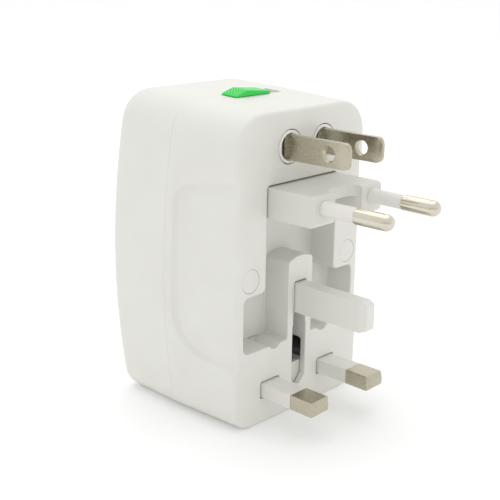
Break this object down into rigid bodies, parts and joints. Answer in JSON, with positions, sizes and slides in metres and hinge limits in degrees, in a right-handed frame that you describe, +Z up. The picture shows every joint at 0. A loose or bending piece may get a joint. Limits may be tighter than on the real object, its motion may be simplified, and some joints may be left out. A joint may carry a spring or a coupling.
{
  "type": "universal travel adapter",
  "caption": "Travel plug adapter block with fold-out round pins, twist-and-slide flat blades, slide-out rectangular pins, folding earth pin and shuttered rear socket.",
  "frame": {"origin": "centre of the bounding box's footprint, on the flat base the adapter stands on", "axes": "+Z up along the height, the pins point to -Y, the socket faces +Y, +X is to the right when facing the pin face"},
  "size_m": [0.0552, 0.0778, 0.0834],
  "materials": {
    "shell_plastic": "fine-grained off-white polycarbonate",
    "socket_plastic": "off-white polycarbonate, slightly smoother",
    "inner_plastic": "light grey nylon moulding",
    "sleeve_plastic": "smooth white insulating plastic",
    "green_plastic": "semi-gloss green",
    "nickel_plate": "satin nickel plate on brass",
    "brass": "bare stamped brass",
    "steel": "zinc plated steel",
    "fuse_glass": "clear glass tube"
  },
  "bodies": {
    "housing": {"front_shell": "shell_plastic", "rear_shell": "shell_plastic", "socket_plate": "socket_plastic", "contact_block": "inner_plastic", "line_contact": "brass", "neutral_contact": "brass", "earth_contact": "brass", "line_busbar": "brass", "neutral_busbar": "brass", "fuse_body": "fuse_glass", "fuse_caps": "nickel_plate", "shutter_spring": "steel", "eu_hinge_pin": "steel", "earth_hinge_pin": "steel", "screw_cap_left": "shell_plastic", "screw_cap_right": "shell_plastic", "case_screws": "steel"},
    "shutter_body": {"shutter": "inner_plastic"},
    "lock": {"lock_slider": "green_plastic"},
    "us_slide_block": {"us_carriage": "inner_plastic", "us_retainer": "inner_plastic"},
    "us_left": {"us_rotor_left": "shell_plastic", "us_blade_left": "nickel_plate"},
    "us_right": {"us_rotor_right": "shell_plastic", "us_blade_right": "nickel_plate"},
    "eu_fold_block": {"eu_carrier": "shell_plastic", "eu_pin_left": "nickel_plate", "eu_pin_right": "nickel_plate", "eu_sleeve_left": "sleeve_plastic", "eu_sleeve_right": "sleeve_plastic"},
    "earth_fold_pin": {"earth_pin": "sleeve_plastic"},
    "earth_interlock": {"earth_latch": "inner_plastic"},
    "uk_slide_block": {"uk_carriage": "inner_plastic", "uk_pin_left": "nickel_plate", "uk_pin_right": "nickel_plate", "uk_sleeve_left": "sleeve_plastic", "uk_sleeve_right": "sleeve_plastic"}
  },
  "joints": [
    {"name": "eu_fold", "type": "hinge", "parent": "housing", "child": "eu_fold_block", "pos_m": [0, -0.00075, 0.0585], "axis": [1, 0, 0], "range_deg": [0, 90]},
    {"name": "earth_fold", "type": "hinge", "parent": "housing", "child": "earth_fold_pin", "pos_m": [0, -0.00235, 0.0332], "axis": [1, 0, 0], "range_deg": [0, 90]},
    {"name": "latch_slide", "type": "slide", "parent": "housing", "child": "earth_interlock", "axis": [0, 1, 0], "range_m": [0, 0.0064]},
    {"name": "uk_slide", "type": "slide", "parent": "housing", "child": "uk_slide_block", "axis": [0, 1, 0], "range_m": [0, 0.0176]},
    {"name": "us_slide", "type": "slide", "parent": "housing", "child": "us_slide_block", "axis": [0, 1, 0], "range_m": [0, 0.0184]},
    {"name": "us_twist_left", "type": "hinge", "parent": "us_slide_block", "child": "us_left", "pos_m": [-0.00515, 0.00045, 0.0713], "axis": [0, 1, 0], "range_deg": [0, 30]},
    {"name": "us_twist_right", "type": "hinge", "parent": "us_slide_block", "child": "us_right", "pos_m": [0.00755, 0.00045, 0.0713], "axis": [0, -1, 0], "range_deg": [0, 30]},
    {"name": "lock_slide", "type": "slide", "parent": "housing", "child": "lock", "axis": [1, 0, 0], "range_m": [0, 0.0056]},
    {"name": "shutter_slide", "type": "slide", "parent": "housing", "child": "shutter_body", "axis": [0, 0, -1], "range_m": [0, 0.009], "stiffness_N_per_m": 40, "springref_m": -0.004, "deforming": ["shutter_spring"]}
  ],
  "couplings": [
    {"joint": "latch_slide", "follows": "earth_fold", "m_per_rad": 0.00406}
  ]
}
